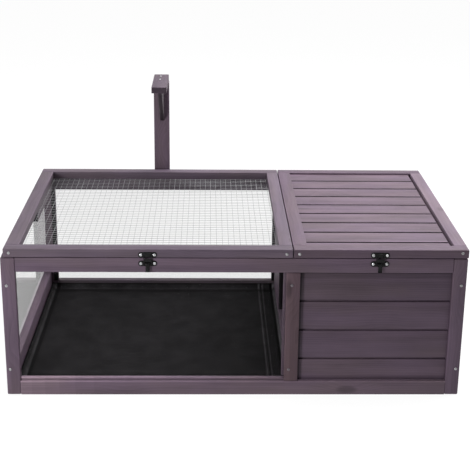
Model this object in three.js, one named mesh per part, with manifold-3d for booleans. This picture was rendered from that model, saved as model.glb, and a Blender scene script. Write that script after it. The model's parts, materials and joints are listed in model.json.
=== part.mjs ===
// Wooden tortoise enclosure: a run with clear panes and a mesh lid, and a boarded hide with
// a solid lid. Millimetres, +X to the right, +Y to the rear, +Z up. The origin is the middle
// of the underside of the body.

import * as THREE from 'three';
import { mergeVertices } from 'three/addons/utils/BufferGeometryUtils.js';
import Module from 'manifold-3d';

const wasm = await Module();
wasm.setup();

// Body
const bodyWidth = 965;
const bodyDepth = 610;
const bodyHeight = 310.5;

// Timber sections
const stock = 18;
const postWidth = 29;
const midPostWidth = 28.5;
const runWidth = 560.5;
const topRailHeight = 31;
const frontBottomHeight = 36;
const frontLipDrop = 4.5;
const frontLipDepth = 6;
const rearBottomHeight = 33;
const sideBoardHeight = 59;
const rightBottomHeight = 36;

// Boards of the hide
const boardThickness = 8;
const boardPitch = 66;
const topBoard = 66.6;
const grooveHalf = 2.4;
const grooveDepth = 2.4;

// Divider between run and hide, with its doorway
const dividerThickness = 12;
const dividerSetback = 10.4;
const rearMidSetback = 3.5;
const doorSill = 38;
const doorHeight = 212;
const doorWidth = 160;
const doorCorner = 30;
const cleatWidth = 15.4;
const cleatDepth = 12;

// Clear panes
const paneThickness = 3;
const paneSetback = 8;
const leftPaneInset = 3.5;

// Floor and liner
const floorThickness = 10.5;
const linerThickness = 1.2;
const linerShort = 5.5;
const linerLeanLeft = 12;
const linerLeanRight = 7.5;
const linerLeanEnds = 8;
const clearance = 0.3;

// Short inner rail on the left wall
const innerRailThickness = 12;
const innerRailLength = 260;
const bracketThickness = 2.5;

// Lids
const lidGap = 1.5;
const lidThickness = 18;
const lidMember = 29;
const lidSeamSetback = 13;
const lidSeamGap = 2;
const leftLidRightMember = 27;
const rightLidOverhang = 0.8;
const rightLidRightMember = 31;
const slatRecess = 4;
const slatThickness = 9;
const slatPitch = 66;
const rearSlat = 59.5;
const slatEndGap = 7;
const ledgeLeft = 12;
const ledgeRight = 20;

// Wire mesh under the left lid
const meshThickness = 1.2;
const meshWire = 1.6;
const meshLap = 12;
const meshCellCount = 17;

// Butt hinges
const hingeWidth = 50;
const hingeInsetShare = 0.16;
const leafHeight = 20;
const leafThickness = 1.5;
const knuckleRadius = 3;
const pinRadius = 1.2;
const pinClearance = 0.3;
const knuckleGap = 0.5;

// Draw latches
const leftLatchShift = -1.5;
const rightLatchShift = -3;
const latchPlateWidth = 39;
const latchPlateHeight = 12;
const latchPlateThickness = 1.2;
const catchRise = 6.25;
const baseDrop = 11;
const noseHeight = 8;
const noseGap = 0.8;
const leverWidth = 8.4;
const leverRadius = 2.6;
const leverGap = 0.4;
const leverLength = 14.5;
const leverThickness = 1.4;
const leverCurl = 2;
const earThickness = 1.4;
const earGap = 0.6;
const bailWire = 0.9;
const bailGap = 0.6;
const bailUnderEars = 0.5;
const bailRise = 3.2;

// Lamp holder
const lampInset = 308;
const lampPostWidth = 38.5;
const lampPostDepth = 28;
const lampArmWidth = 36.5;
const lampArmLength = 163.5;
const lampArmThickness = 15;
const lampRise = 254.9;
const lampSpacer = 18;
const lampFootShort = 1;
const braceShift = 1.5;
const braceThickness = 10;
const braceReach = 130;
const braceDrop = 98;

// Facets and cutting
const roundSides = 20;
const cornerSteps = 6;
const overrun = 2;

// Places worked out from the sizes above
const halfWidth = bodyWidth / 2;
const halfDepth = bodyDepth / 2;
const left = [-halfWidth, -halfWidth + postWidth];
const right = [halfWidth - postWidth, halfWidth];
const front = [-halfDepth, -halfDepth + stock];
const rear = [halfDepth - stock, halfDepth];
const between = [front[1], rear[0]];
const leftWall = [-halfWidth, -halfWidth + stock];
const rightWall = [halfWidth - stock, halfWidth];
const topRail = [bodyHeight - topRailHeight, bodyHeight];
const frontLip = frontBottomHeight - frontLipDrop;
const midPost = [left[1] + runWidth, left[1] + runWidth + midPostWidth];
const divider = [midPost[0] + dividerSetback, midPost[0] + dividerSetback + dividerThickness];
const leftPane = [-halfWidth + leftPaneInset, -halfWidth + leftPaneInset + paneThickness];
const rearLeft = [leftPane[1], leftPane[1] + postWidth];
const rearMid = [midPost[0] + rearMidSetback, midPost[0] + rearMidSetback + midPostWidth];
const lidBottom = bodyHeight + lidGap;
const lid = [lidBottom, lidBottom + lidThickness];
const lidFront = [-halfDepth, -halfDepth + lidMember];
const lidRear = [halfDepth - lidMember, halfDepth];
const lidInside = [lidFront[1], lidRear[0]];
const lidSeam = midPost[0] + lidSeamSetback;
const leftLid = [rearLeft[0], lidSeam - lidSeamGap / 2];
const rightLid = [lidSeam + lidSeamGap / 2, halfWidth + rightLidOverhang];
const hingeAxis = [halfDepth + knuckleRadius + clearance, bodyHeight + lidGap / 2];

// Materials
const finish = (color, roughness, metalness) =>
  new THREE.MeshStandardMaterial({ color, roughness, metalness });
const woodLight = finish(0x8d8290, 0.75, 0);
const woodMid = finish(0x7a6d78, 0.78, 0);
const woodDark = finish(0x564950, 0.8, 0);
const acrylic = finish(0xdfe6ea, 0.1, 0);
const fabric = finish(0x1e1e20, 0.9, 0);
const blackMetal = finish(0x141414, 0.45, 0.7);
const zinc = finish(0xb9bcc0, 0.35, 0.9);

const enclosure = new THREE.Group();

function piece(name, material, geometry) {
  const mesh = new THREE.Mesh(geometry, material);
  mesh.name = name;
  enclosure.add(mesh);
  return mesh;
}

// A box between two limits on each axis
function boxGeometry(x, y, z) {
  const geometry = new THREE.BoxGeometry(x[1] - x[0], y[1] - y[0], z[1] - z[0]);
  const middle = [x, y, z].map((limits) => (limits[0] + limits[1]) / 2);
  return geometry.translate(...middle);
}

function box(name, material, x, y, z) {
  return piece(name, material, boxGeometry(x, y, z));
}

// A shape drawn in u and v, extruded and turned so that u, v and the run lie along given axes
const axisX = new THREE.Vector3(1, 0, 0);
const axisY = new THREE.Vector3(0, 1, 0);
const axisZ = new THREE.Vector3(0, 0, 1);

function extruded(shape, length, uAxis, vAxis) {
  const settings = { depth: length, bevelEnabled: false, curveSegments: cornerSteps };
  const geometry = new THREE.ExtrudeGeometry(shape, settings);
  const runAxis = new THREE.Vector3().crossVectors(uAxis, vAxis);
  return geometry.applyMatrix4(new THREE.Matrix4().makeBasis(uAxis, vAxis, runAxis));
}

function outline(points) {
  return new THREE.Shape(points.map(([u, v]) => new THREE.Vector2(u, v)));
}

function rectangle(u, v) {
  return [[u[0], v[0]], [u[1], v[0]], [u[1], v[1]], [u[0], v[1]]];
}

// A rod along X
function rod(radius, x, y, z) {
  const geometry = new THREE.CylinderGeometry(radius, radius, x[1] - x[0], roundSides);
  return geometry.rotateZ(Math.PI / 2).translate((x[0] + x[1]) / 2, y, z);
}

function toSolid(geometry) {
  const plain = geometry.clone();
  plain.deleteAttribute('normal');
  plain.deleteAttribute('uv');
  const merged = mergeVertices(plain);
  const vertProperties = new Float32Array(merged.attributes.position.array);
  const triVerts = new Uint32Array(merged.index.array);
  return new wasm.Manifold(new wasm.Mesh({ numProp: 3, vertProperties, triVerts }));
}

function toGeometry(solid) {
  const mesh = solid.getMesh();
  const geometry = new THREE.BufferGeometry();
  geometry.setAttribute('position', new THREE.BufferAttribute(mesh.vertProperties, 3));
  geometry.setIndex(new THREE.BufferAttribute(mesh.triVerts, 1));
  return geometry;
}

function joined(parts, cuts = []) {
  const whole = parts.map(toSolid).reduce((sum, solid) => sum.add(solid));
  return toGeometry(cuts.map(toSolid).reduce((rest, cut) => rest.subtract(cut), whole));
}

// Grooved boards: V grooves whole at the seams, and half cut at an end where another board meets
function boardOutline(limits, seams, thickness, grooved) {
  const [start, end] = limits;
  const bottom = thickness - grooveDepth;
  const points = [[start, 0], [start, grooved[0] ? bottom : thickness]];
  if (grooved[0]) points.push([start + grooveHalf, thickness]);
  for (const seam of seams) {
    points.push([seam - grooveHalf, thickness], [seam, bottom], [seam + grooveHalf, thickness]);
  }
  if (grooved[1]) points.push([end - grooveHalf, thickness]);
  points.push([end, grooved[1] ? bottom : thickness], [end, 0]);
  return outline(points);
}

// Seams at a steady pitch, after a first board at the high end
function seamsBetween(limits, first, pitch) {
  const seams = [];
  for (let seam = limits[1] - first; seam > limits[0] + grooveHalf; seam -= pitch) {
    seams.unshift(seam);
  }
  return seams;
}

// The bottom rail is stepped: a low lip in front carries the middle post and the boards, and a
// higher ledge behind it carries the pane
function makeFrontFrame() {
  const rails = [left[1], right[0]];
  box('front_left_post', woodMid, left, front, [0, bodyHeight]);
  box('front_right_post', woodDark, right, front, [0, bodyHeight]);
  box('front_top_rail', woodMid, rails, front, topRail);
  const lip = boxGeometry(rails, front, [0, frontLip]);
  const ledge = boxGeometry([left[1], midPost[0]], [front[0] + frontLipDepth, front[1]],
    [0, frontBottomHeight]);
  piece('front_bottom_rail', woodMid, joined([lip, ledge]));
  box('front_mid_post', woodDark, midPost, front, [frontLip, topRail[0]]);
  const cleat = [divider[0] - cleatWidth, divider[0]];
  box('divider_cleat', woodMid, cleat, [front[1], front[1] + cleatDepth],
    [frontBottomHeight, topRail[0]]);
}

function makeRearFrame() {
  const rails = [rearLeft[1], right[0]];
  box('rear_left_post', woodMid, rearLeft, rear, [0, bodyHeight]);
  box('rear_right_post', woodMid, right, rear, [0, bodyHeight]);
  box('rear_top_rail', woodMid, rails, rear, topRail);
  box('rear_bottom_rail', woodMid, rails, rear, [0, rearBottomHeight]);
  box('rear_mid_post', woodMid, rearMid, rear, [rearBottomHeight, topRail[0]]);
}

function makeSideWalls() {
  box('left_bottom_board', woodMid, leftWall, between, [0, sideBoardHeight]);
  box('left_top_rail', woodMid, leftWall, between, topRail);
  box('right_bottom_rail', woodMid, rightWall, between, [0, rightBottomHeight]);
  box('right_top_rail', woodMid, rightWall, between, topRail);
  const innerRail = [leftWall[1], leftWall[1] + innerRailThickness];
  const innerRailFront = rear[0] - innerRailLength;
  box('left_inner_rail', woodMid, innerRail, [innerRailFront, rear[0]], topRail);
  box('left_rail_bracket', blackMetal, innerRail,
    [innerRailFront - bracketThickness, innerRailFront], topRail);
}

function makePanes() {
  const frontPane = [front[0] + paneSetback, front[0] + paneSetback + paneThickness];
  box('front_pane', acrylic, [left[1], midPost[0]], frontPane, [frontBottomHeight, topRail[0]]);
  const rearPane = [rear[1] - paneSetback, rear[1] - paneSetback + paneThickness];
  box('rear_pane', acrylic, [rearLeft[1], rearMid[0]], rearPane, [rearBottomHeight, topRail[0]]);
  box('left_pane', acrylic, leftPane, [front[1], rear[1]], [sideBoardHeight, topRail[0]]);
}

// Separate boards across the front, one above the other
function makeHideFront() {
  const limits = [frontLip, topRail[0]];
  const edges = [limits[0], ...seamsBetween(limits, topBoard, boardPitch), limits[1]];
  const outward = new THREE.Vector3(0, -1, 0);
  for (let i = 0; i + 1 < edges.length; i += 1) {
    const grooved = [i > 0, i + 2 < edges.length];
    const shape = boardOutline([edges[i], edges[i + 1]], [], boardThickness, grooved);
    const board = extruded(shape, right[0] - midPost[1], axisZ, outward);
    piece(`hide_front_board_${i + 1}`, woodDark, board.translate(midPost[1], front[1], 0));
  }
}

// Boarded panels that close the right end and the rear of the hide
function makeHidePanels() {
  const uncut = [false, false];
  const rightLimits = [rightBottomHeight, topRail[0]];
  const rightShape = boardOutline(rightLimits,
    seamsBetween(rightLimits, topBoard, boardPitch), boardThickness, uncut);
  const rightPanel = extruded(rightShape, between[1] - between[0], axisZ, axisX);
  piece('hide_right_panel', woodDark, rightPanel.translate(rightWall[0], between[0], 0));
  const rearLimits = [rearBottomHeight, topRail[0]];
  const rearShape = boardOutline(rearLimits,
    seamsBetween(rearLimits, topBoard, boardPitch), boardThickness, uncut);
  const rearPanel = extruded(rearShape, right[0] - rearMid[1], axisZ, axisY);
  piece('hide_rear_panel', woodDark, rearPanel.translate(right[0], rear[0], 0));
}

// Divider board, drawn in Y and Z, with a doorway that has rounded upper corners
function makeDivider() {
  const [doorFront, doorRear] = [-doorWidth / 2, doorWidth / 2];
  const doorTop = doorSill + doorHeight;
  const shape = outline(rectangle(between, [floorThickness, bodyHeight]));
  const door = new THREE.Path();
  door.moveTo(doorFront, doorSill);
  door.lineTo(doorFront, doorTop - doorCorner);
  door.absarc(doorFront + doorCorner, doorTop - doorCorner, doorCorner, Math.PI, Math.PI / 2, true);
  door.absarc(doorRear - doorCorner, doorTop - doorCorner, doorCorner, Math.PI / 2, 0, true);
  door.lineTo(doorRear, doorSill);
  shape.holes.push(door);
  const board = extruded(shape, dividerThickness, axisY, axisZ);
  piece('divider', woodMid, board.translate(divider[0], 0, 0));
}

// A block whose base and top rectangles differ, with flat sloping sides
function taperedGeometry(base, top, z) {
  const low = rectangle(...base).map(([x, y]) => [x, y, z[0]]);
  const high = rectangle(...top).map(([x, y]) => [x, y, z[1]]);
  const faces = [[0, 2, 1], [0, 3, 2], [4, 5, 6], [4, 6, 7]];
  for (let i = 0; i < low.length; i += 1) {
    const next = (i + 1) % low.length;
    faces.push([i, next, next + low.length], [i, next + low.length, i + low.length]);
  }
  const geometry = new THREE.BufferGeometry();
  const positions = [...low, ...high].flat();
  geometry.setAttribute('position', new THREE.Float32BufferAttribute(positions, 3));
  return geometry.setIndex(faces.flat());
}

function makeFloor() {
  box('floor_board', woodMid, [leftWall[1], rightWall[0]], between, [0, floorThickness]);
  const bottom = floorThickness + clearance;
  const linerTop = frontBottomHeight - linerShort;
  const top = [
    [leftWall[1] + clearance, divider[0] - clearance],
    [between[0] + clearance, between[1] - clearance],
  ];
  const base = [
    [top[0][0] + linerLeanLeft, top[0][1] - linerLeanRight],
    [top[1][0] + linerLeanEnds, top[1][1] - linerLeanEnds],
  ];
  const shrunk = (limits) => [limits[0] + linerThickness, limits[1] - linerThickness];
  const outer = taperedGeometry(base, top, [bottom, linerTop]);
  const inner = taperedGeometry(base.map(shrunk), top.map(shrunk),
    [bottom + linerThickness, linerTop + linerThickness]);
  piece('run_liner', fabric, joined([outer], [inner]));
}

// Limits of the wires of a net along one axis: start and end of each wire in turn
function wireLimits(limits) {
  const pitch = (limits[1] - limits[0] - meshWire) / meshCellCount;
  const starts = Array.from({ length: meshCellCount + 1 }, (_, i) => limits[0] + i * pitch);
  return starts.flatMap((start) => [start, start + meshWire]);
}

// Flat welded net, cell by cell: a cell is a gap where neither its column nor its row is wire
function netGeometry(x, y, z) {
  const [xs, ys] = [wireLimits(x), wireLimits(y)];
  const cells = xs.length - 1;
  const inside = (i) => i >= 0 && i < cells;
  const isWire = (i, j) => inside(i) && inside(j) && (i % 2 === 0 || j % 2 === 0);
  const at = (i, j, level) => (level * ys.length + j) * xs.length + i;
  const positions = z.flatMap((height) => ys.flatMap((v) => xs.flatMap((u) => [u, v, height])));
  const faces = [];
  const quad = (a, b, c, d) => faces.push(a, b, c, a, c, d);
  const wall = (a, b) => quad(at(...a, 0), at(...b, 0), at(...b, 1), at(...a, 1));
  for (let i = 0; i < cells; i += 1) {
    for (let j = 0; j < cells; j += 1) {
      if (!isWire(i, j)) continue;
      quad(at(i, j, 1), at(i + 1, j, 1), at(i + 1, j + 1, 1), at(i, j + 1, 1));
      quad(at(i, j, 0), at(i, j + 1, 0), at(i + 1, j + 1, 0), at(i + 1, j, 0));
      if (!isWire(i, j - 1)) wall([i, j], [i + 1, j]);
      if (!isWire(i + 1, j)) wall([i + 1, j], [i + 1, j + 1]);
      if (!isWire(i, j + 1)) wall([i + 1, j + 1], [i, j + 1]);
      if (!isWire(i - 1, j)) wall([i, j + 1], [i, j]);
    }
  }
  const geometry = new THREE.BufferGeometry();
  geometry.setAttribute('position', new THREE.Float32BufferAttribute(positions, 3));
  return geometry.setIndex(faces);
}

function makeLeftLid() {
  box('left_lid_front_rail', woodLight, leftLid, lidFront, lid);
  box('left_lid_rear_rail', woodLight, leftLid, lidRear, lid);
  const opening = [leftLid[0] + lidMember, leftLid[1] - leftLidRightMember];
  box('left_lid_left_member', woodLight, [leftLid[0], opening[0]], lidInside, lid);
  box('left_lid_right_member', woodLight, [opening[1], leftLid[1]], lidInside, lid);
  const net = netGeometry([opening[0] - meshLap, opening[1] + meshLap],
    [lidInside[0] - meshLap, lidInside[1] + meshLap], [lidBottom - meshThickness, lidBottom]);
  piece('left_lid_mesh', zinc, net);
}

// Side member of the right lid, with a ledge under the ends of the boards
function ledgedMember(name, x, ledge) {
  const ledgeTop = lid[1] - slatRecess - slatThickness;
  const member = boxGeometry(x, lidInside, lid);
  const shelf = boxGeometry([Math.min(x[0], ledge), Math.max(x[1], ledge)], lidInside,
    [lid[0], ledgeTop]);
  piece(name, woodLight, joined([member, shelf]));
}

function makeRightLid() {
  box('right_lid_front_rail', woodLight, rightLid, lidFront, lid);
  box('right_lid_rear_rail', woodLight, rightLid, lidRear, lid);
  const opening = [rightLid[0] + lidMember, rightLid[1] - rightLidRightMember];
  ledgedMember('right_lid_left_member', [rightLid[0], opening[0]], opening[0] + ledgeLeft);
  ledgedMember('right_lid_right_member', [opening[1], rightLid[1]], opening[1] - ledgeRight);
  const seams = seamsBetween(lidInside, rearSlat, slatPitch);
  const shape = boardOutline(lidInside, seams, slatThickness, [false, false]);
  const boards = extruded(shape, opening[1] - slatEndGap - opening[0], axisY, axisZ);
  piece('right_lid_boards', woodLight,
    boards.translate(opening[0], 0, lid[1] - slatRecess - slatThickness));
}

// Butt hinge on the rear faces: outer knuckles and pin on the body leaf, middle one on the lid's
function makeHinge(name, x) {
  const [axisDepth, axisHeight] = hingeAxis;
  const third = hingeWidth / 3;
  const ends = [x - hingeWidth / 2, x + hingeWidth / 2];
  const middle = [x - third / 2, x + third / 2];
  const leaf = [halfDepth, halfDepth + leafThickness];
  const lower = [axisHeight - knuckleRadius - knuckleGap - leafHeight,
    axisHeight - knuckleRadius - knuckleGap];
  const upper = [axisHeight + knuckleRadius + knuckleGap,
    lid[1] - knuckleGap];
  const outerKnuckles = [[ends[0], middle[0] - knuckleGap], [middle[1] + knuckleGap, ends[1]]];
  const bodyParts = [boxGeometry(ends, leaf, lower), rod(pinRadius, ends, axisDepth, axisHeight)];
  for (const span of outerKnuckles) {
    bodyParts.push(rod(knuckleRadius, span, axisDepth, axisHeight));
    bodyParts.push(boxGeometry(span, leaf, [lower[0], axisHeight]));
  }
  piece(`${name}_body_leaf`, zinc, joined(bodyParts));
  const lidParts = [
    boxGeometry(ends, leaf, upper),
    boxGeometry(middle, leaf, [axisHeight, upper[1]]),
    rod(knuckleRadius, middle, axisDepth, axisHeight),
  ];
  const bore = rod(pinRadius + pinClearance, ends, axisDepth, axisHeight);
  piece(`${name}_lid_leaf`, zinc, joined(lidParts, [bore]));
}

function makeHinges() {
  for (const [side, x] of [['left', leftLid], ['right', rightLid]]) {
    const inset = (x[1] - x[0]) * hingeInsetShare;
    makeHinge(`${side}_lid_left_hinge`, x[0] + inset);
    makeHinge(`${side}_lid_right_hinge`, x[1] - inset);
  }
}

// A screwed bar with round ends, on the front faces
function latchPlate(x, z) {
  const radius = latchPlateHeight / 2;
  const straight = latchPlateWidth / 2 - radius;
  const shape = new THREE.Shape();
  shape.absarc(x + straight, z, radius, -Math.PI / 2, Math.PI / 2, false);
  shape.absarc(x - straight, z, radius, Math.PI / 2, -Math.PI / 2, false);
  return extruded(shape, latchPlateThickness, axisX, axisZ).translate(0, -halfDepth, 0);
}

// Catch of a draw latch: a plate on the lid with a nose that the bail lies in front of
function makeCatch(name, x, height, bailDepth, noseHalf) {
  const nose = boxGeometry([x - noseHalf, x + noseHalf],
    [bailDepth + bailWire + clearance, -halfDepth],
    [height - noseHeight / 2, height + noseHeight / 2]);
  piece(name, blackMetal, joined([latchPlate(x, height), nose]));
}

// Base of a draw latch: a plate on the body with two ears and a pin for the lever
function makeLatchBase(name, x, height, pivotDepth, earSpan) {
  const [inside, outside] = earSpan;
  const parts = [latchPlate(x, height), rod(pinRadius, [x - outside, x + outside], pivotDepth, height)];
  for (const ear of [[x - outside, x - inside], [x + inside, x + outside]]) {
    parts.push(rod(leverRadius, ear, pivotDepth, height));
    parts.push(boxGeometry(ear, [pivotDepth, -halfDepth], [height - leverRadius, height + leverRadius]));
  }
  piece(name, blackMetal, joined(parts));
}

// Lever of a draw latch: bored for the pin above and for the bail below, with a curled tongue
function makeLever(name, x, height, pivotDepth, bailHeight) {
  const half = [x - leverWidth / 2, x + leverWidth / 2];
  const bored = [half[0] - overrun, half[1] + overrun];
  const face = pivotDepth - leverRadius;
  const tip = height - leverLength;
  const tongue = outline([
    [face, height], [face, tip], [face - leverCurl, tip - leverCurl],
    [face - leverCurl + leverThickness, tip - leverCurl],
    [face + leverThickness, tip], [face + leverThickness, height],
  ]);
  const parts = [
    rod(leverRadius, half, pivotDepth, height),
    rod(leverRadius, half, pivotDepth, bailHeight),
    boxGeometry(half, [face, pivotDepth + leverRadius], [bailHeight, height]),
    extruded(tongue, leverWidth, axisY, axisZ).translate(half[0], 0, 0),
  ];
  const bores = [
    rod(pinRadius + pinClearance, bored, pivotDepth, height),
    rod(bailWire + pinClearance, bored, pivotDepth, bailHeight),
  ];
  piece(name, blackMetal, joined(parts, bores));
}

// Bail of a draw latch: a closed loop of wire
function makeBail(name, x, legX, depth, z) {
  const across = [x - legX - bailWire, x + legX + bailWire];
  const parts = z.map((height) => rod(bailWire, across, depth, height));
  for (const middle of [x - legX, x + legX]) {
    parts.push(boxGeometry([middle - bailWire, middle + bailWire],
      [depth - bailWire, depth + bailWire], z));
  }
  piece(name, blackMetal, joined(parts));
}

function makeLatch(side, x) {
  const pivotDepth = -halfDepth - latchPlateThickness - leverGap - leverRadius;
  const catchHeight = lid[0] + catchRise;
  const baseHeight = bodyHeight - baseDrop;
  const bailHeight = baseHeight - leverRadius - bailUnderEars - bailWire;
  const earInside = leverWidth / 2 + earGap;
  const earOutside = earInside + earThickness;
  const legX = earOutside + bailGap + bailWire;
  const noseHalf = legX - bailWire - noseGap;
  makeCatch(`${side}_latch_catch`, x, catchHeight, pivotDepth, noseHalf);
  makeLatchBase(`${side}_latch_base`, x, baseHeight, pivotDepth, [earInside, earOutside]);
  makeLever(`${side}_latch_lever`, x, baseHeight, pivotDepth, bailHeight);
  makeBail(`${side}_latch_bail`, x, legX, pivotDepth, [bailHeight, catchHeight + bailRise]);
}

// Lamp holder behind the run: spacer on the top rail, post, arm over it and brace
function makeLampHolder() {
  const middle = left[0] + lampInset;
  const postX = [middle - lampPostWidth / 2, middle + lampPostWidth / 2];
  const armX = [middle - lampArmWidth / 2, middle + lampArmWidth / 2];
  const spacerDepth = [rear[1], rear[1] + lampSpacer];
  const postDepth = [spacerDepth[1], spacerDepth[1] + lampPostDepth];
  const armTop = bodyHeight + lampRise;
  const armBottom = armTop - lampArmThickness;
  const foot = [topRail[0] + lampFootShort, topRail[1] - lampFootShort];
  box('lamp_spacer', woodMid, postX, spacerDepth, foot);
  box('lamp_post', woodMid, postX, postDepth, [foot[0], armBottom]);
  box('lamp_arm', woodMid, armX, [postDepth[1] - lampArmLength, postDepth[1]], [armBottom, armTop]);
  const brace = outline([
    [postDepth[0], armBottom],
    [postDepth[0] - braceReach, armBottom],
    [postDepth[0], armBottom - braceDrop],
  ]);
  const braceLeft = middle + braceShift - braceThickness / 2;
  piece('lamp_brace', woodDark,
    extruded(brace, braceThickness, axisY, axisZ).translate(braceLeft, 0, 0));
}

makeFrontFrame();
makeRearFrame();
makeSideWalls();
makePanes();
makeHideFront();
makeHidePanels();
makeDivider();
makeFloor();
makeLeftLid();
makeRightLid();
makeHinges();
makeLatch('left', (leftLid[0] + leftLid[1]) / 2 + leftLatchShift);
makeLatch('right', (rightLid[0] + rightLid[1]) / 2 + rightLatchShift);
makeLampHolder();

export default enclosure;
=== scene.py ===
"""A wooden tortoise enclosure: a run with clear panes, a cloth liner and a wire-mesh lid,
a boarded hide with a slatted lid, two draw latches, and a lamp arm behind the run."""

import json
import math
import random

import bmesh
import bpy
from mathutils import Matrix, Vector, noise


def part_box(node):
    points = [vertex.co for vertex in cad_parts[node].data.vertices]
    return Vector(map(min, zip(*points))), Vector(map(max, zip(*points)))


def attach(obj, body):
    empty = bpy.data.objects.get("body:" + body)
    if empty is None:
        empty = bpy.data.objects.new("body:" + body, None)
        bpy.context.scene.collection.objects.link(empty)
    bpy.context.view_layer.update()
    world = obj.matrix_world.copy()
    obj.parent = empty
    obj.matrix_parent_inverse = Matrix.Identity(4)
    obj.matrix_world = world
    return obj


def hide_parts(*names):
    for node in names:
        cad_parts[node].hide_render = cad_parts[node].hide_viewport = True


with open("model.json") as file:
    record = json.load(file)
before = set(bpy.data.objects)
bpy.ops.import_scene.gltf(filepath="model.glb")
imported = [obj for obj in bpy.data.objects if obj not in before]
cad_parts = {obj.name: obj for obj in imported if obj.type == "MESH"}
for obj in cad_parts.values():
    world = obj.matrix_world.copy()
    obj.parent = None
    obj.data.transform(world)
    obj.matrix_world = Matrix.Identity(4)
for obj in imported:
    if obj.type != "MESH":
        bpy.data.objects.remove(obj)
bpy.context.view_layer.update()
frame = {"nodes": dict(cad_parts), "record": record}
slot_of = {part["node"]: part["material_slot"] for part in frame["record"]["subparts"]}
body_of = {
    node: body
    for body, members in frame["record"]["behaviour"]["bodies"].items()
    for node in members
}

MM = 0.001


def in_metres(bands):
    """Bands whose start and end are given in millimetres. A band is (axis, start, end, gain)."""
    return tuple((axis, start * MM, end * MM, gain) for axis, start, end, gain in bands)


# Camera: the photograph's view, fitted to the straight edges of the body
FRAME_PX = 470
FOCAL_PX = 1140.76
SENSOR = 36
CAMERA_AT = Vector((-0.0564, -2.5088, 1.1159))
PITCH_DOWN = 0.329646
YAW_RIGHT = 0.025111
ROLL = 0.0115326


def add_camera():
    data = bpy.data.cameras.new("view")
    data.sensor_width = SENSOR
    data.lens = FOCAL_PX / FRAME_PX * SENSOR
    forward = Vector((
        math.sin(YAW_RIGHT) * math.cos(PITCH_DOWN),
        math.cos(YAW_RIGHT) * math.cos(PITCH_DOWN),
        -math.sin(PITCH_DOWN),
    ))
    level = Vector((math.cos(YAW_RIGHT), -math.sin(YAW_RIGHT), 0))
    rise = level.cross(forward)
    right = level * math.cos(ROLL) + rise * math.sin(ROLL)
    up = rise * math.cos(ROLL) - level * math.sin(ROLL)
    turn = Matrix((right, up, -forward)).transposed().to_4x4()
    camera = bpy.data.objects.new("view", data)
    camera.matrix_world = Matrix.Translation(CAMERA_AT) @ turn
    bpy.context.scene.collection.objects.link(camera)
    bpy.context.scene.camera = camera


# Nodes of a material. The two ranges are those of a noise pattern that a roughness follows
WIDE = (0.2, 0.8)
NARROW = (0.3, 0.7)


def add_node(tree, kind, inputs=None, **settings):
    made = tree.nodes.new(kind)
    for name, value in settings.items():
        setattr(made, name, value)
    for name, value in (inputs or {}).items():
        if isinstance(value, bpy.types.NodeSocket):
            tree.links.new(value, made.inputs[name])
        else:
            made.inputs[name].default_value = value
    return made


def calc(tree, operation, first, second=0.0, third=0.0, clamp=False):
    inputs = {0: first, 1: second, 2: third}
    return add_node(tree, "ShaderNodeMath", inputs, operation=operation, use_clamp=clamp).outputs[0]


def combine(tree, x, y, z):
    return add_node(tree, "ShaderNodeCombineXYZ", {0: x, 1: y, 2: z}).outputs[0]


def separate(tree, vector):
    return add_node(tree, "ShaderNodeSeparateXYZ", {0: vector}).outputs


def vector_calc(tree, operation, first, second):
    inputs = {0: first, 1: second}
    return add_node(tree, "ShaderNodeVectorMath", inputs, operation=operation).outputs[0]


def stretch(tree, vector, scales):
    return vector_calc(tree, "MULTIPLY", vector, scales)


def own_place(tree):
    return add_node(tree, "ShaderNodeTexCoord").outputs["Object"]


def speckle(tree, vector, scale=1.0, detail=3.0, roughness=0.5):
    inputs = {"Vector": vector, "Scale": scale, "Detail": detail, "Roughness": roughness}
    return add_node(tree, "ShaderNodeTexNoise", inputs).outputs[0]


def ramp(tree, value, low, high, start=0.0, end=1.0, kind="SMOOTHSTEP"):
    inputs = {"Value": value, "From Min": low, "From Max": high, "To Min": start, "To Max": end}
    node = add_node(tree, "ShaderNodeMapRange", inputs, interpolation_type=kind)
    return node.outputs[0]


def bumped(tree, height, strength, distance):
    inputs = {"Strength": strength, "Distance": distance, "Height": height}
    return add_node(tree, "ShaderNodeBump", inputs).outputs[0]


def banded(tree, value, split, bands, soft):
    """The value times a gain inside each band. A band is (axis, start, end, gain)."""
    for axis, start, end, gain in bands:
        off = calc(tree, "ABSOLUTE", calc(tree, "SUBTRACT", split[axis], (start + end) / 2))
        half = (end - start) / 2
        value = calc(tree, "MULTIPLY", value, ramp(tree, off, half - soft, half + soft, gain, 1.0))
    return value


def mix_colour(tree, share, first, second, blend="MIX"):
    node = add_node(tree, "ShaderNodeMix", data_type="RGBA", blend_type=blend)
    for index, value in ((0, share), (6, first), (7, second)):
        if isinstance(value, bpy.types.NodeSocket):
            tree.links.new(value, node.inputs[index])
        else:
            node.inputs[index].default_value = value
    return node.outputs[2]


def new_material(name):
    material = bpy.data.materials.new(name)
    material.use_nodes = True
    material.node_tree.nodes.clear()
    return material, material.node_tree


def close_material(material, inputs):
    """Gives the material a principled shader with these inputs."""
    tree = material.node_tree
    shader = add_node(tree, "ShaderNodeBsdfPrincipled", inputs)
    add_node(tree, "ShaderNodeOutputMaterial", {"Surface": shader.outputs[0]})
    return material


def grey(value):
    return (value, value, value, 1.0)


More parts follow.
